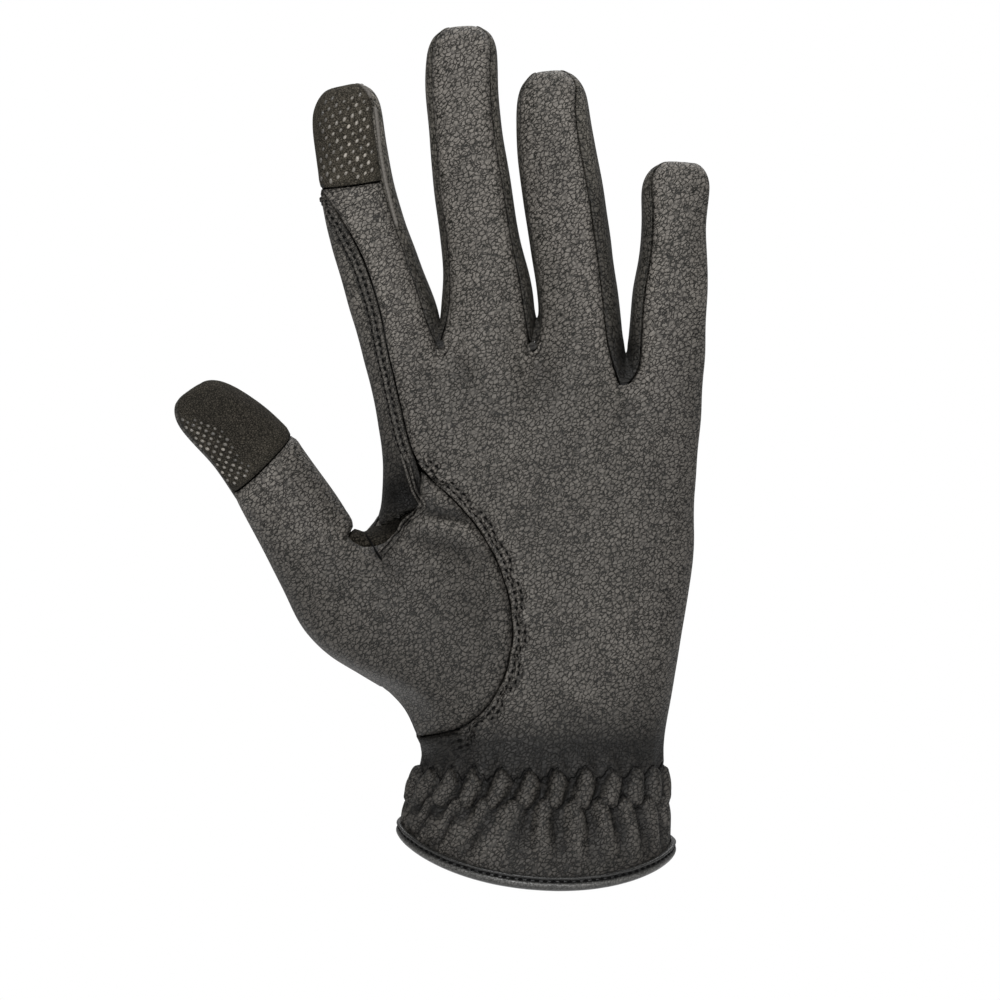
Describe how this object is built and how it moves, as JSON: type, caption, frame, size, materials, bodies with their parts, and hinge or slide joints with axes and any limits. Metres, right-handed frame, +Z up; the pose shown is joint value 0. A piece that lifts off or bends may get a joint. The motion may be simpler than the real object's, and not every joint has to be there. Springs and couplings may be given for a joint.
{
  "type": "riding glove",
  "caption": "Left-hand riding glove of grained synthetic leather with fourchettes, a round-set thumb, mesh touch tips on thumb and index finger, a shirred wrist and a bound hem.",
  "frame": {"origin": "middle of the opening at the hem, where the hand goes in", "axes": "+Z up to the fingertips, the palm faces -Y and the thumb points to -X"},
  "size_m": [0.1377, 0.0547, 0.2222],
  "materials": {
    "palm_leather": "pebble-grained synthetic leather, low sheen",
    "back_leather": "pebble-grained synthetic leather, low sheen",
    "fourchette_leather": "pebble-grained synthetic leather, low sheen",
    "touch_mesh": "knitted mesh with small raised eyelets, matt",
    "binding": "smooth rolled synthetic leather binding, soft sheen"
  },
  "bodies": {
    "root": {"palm_panel": "palm_leather", "back_panel": "back_leather", "fourchette_index_middle": "fourchette_leather", "fourchette_middle_ring": "fourchette_leather", "fourchette_ring_little": "fourchette_leather", "index_touch_patch": "touch_mesh", "thumb_front": "palm_leather", "thumb_back": "back_leather", "thumb_gusset": "fourchette_leather", "thumb_touch_patch": "touch_mesh", "hem_binding": "binding"}
  },
  "joints": []
}
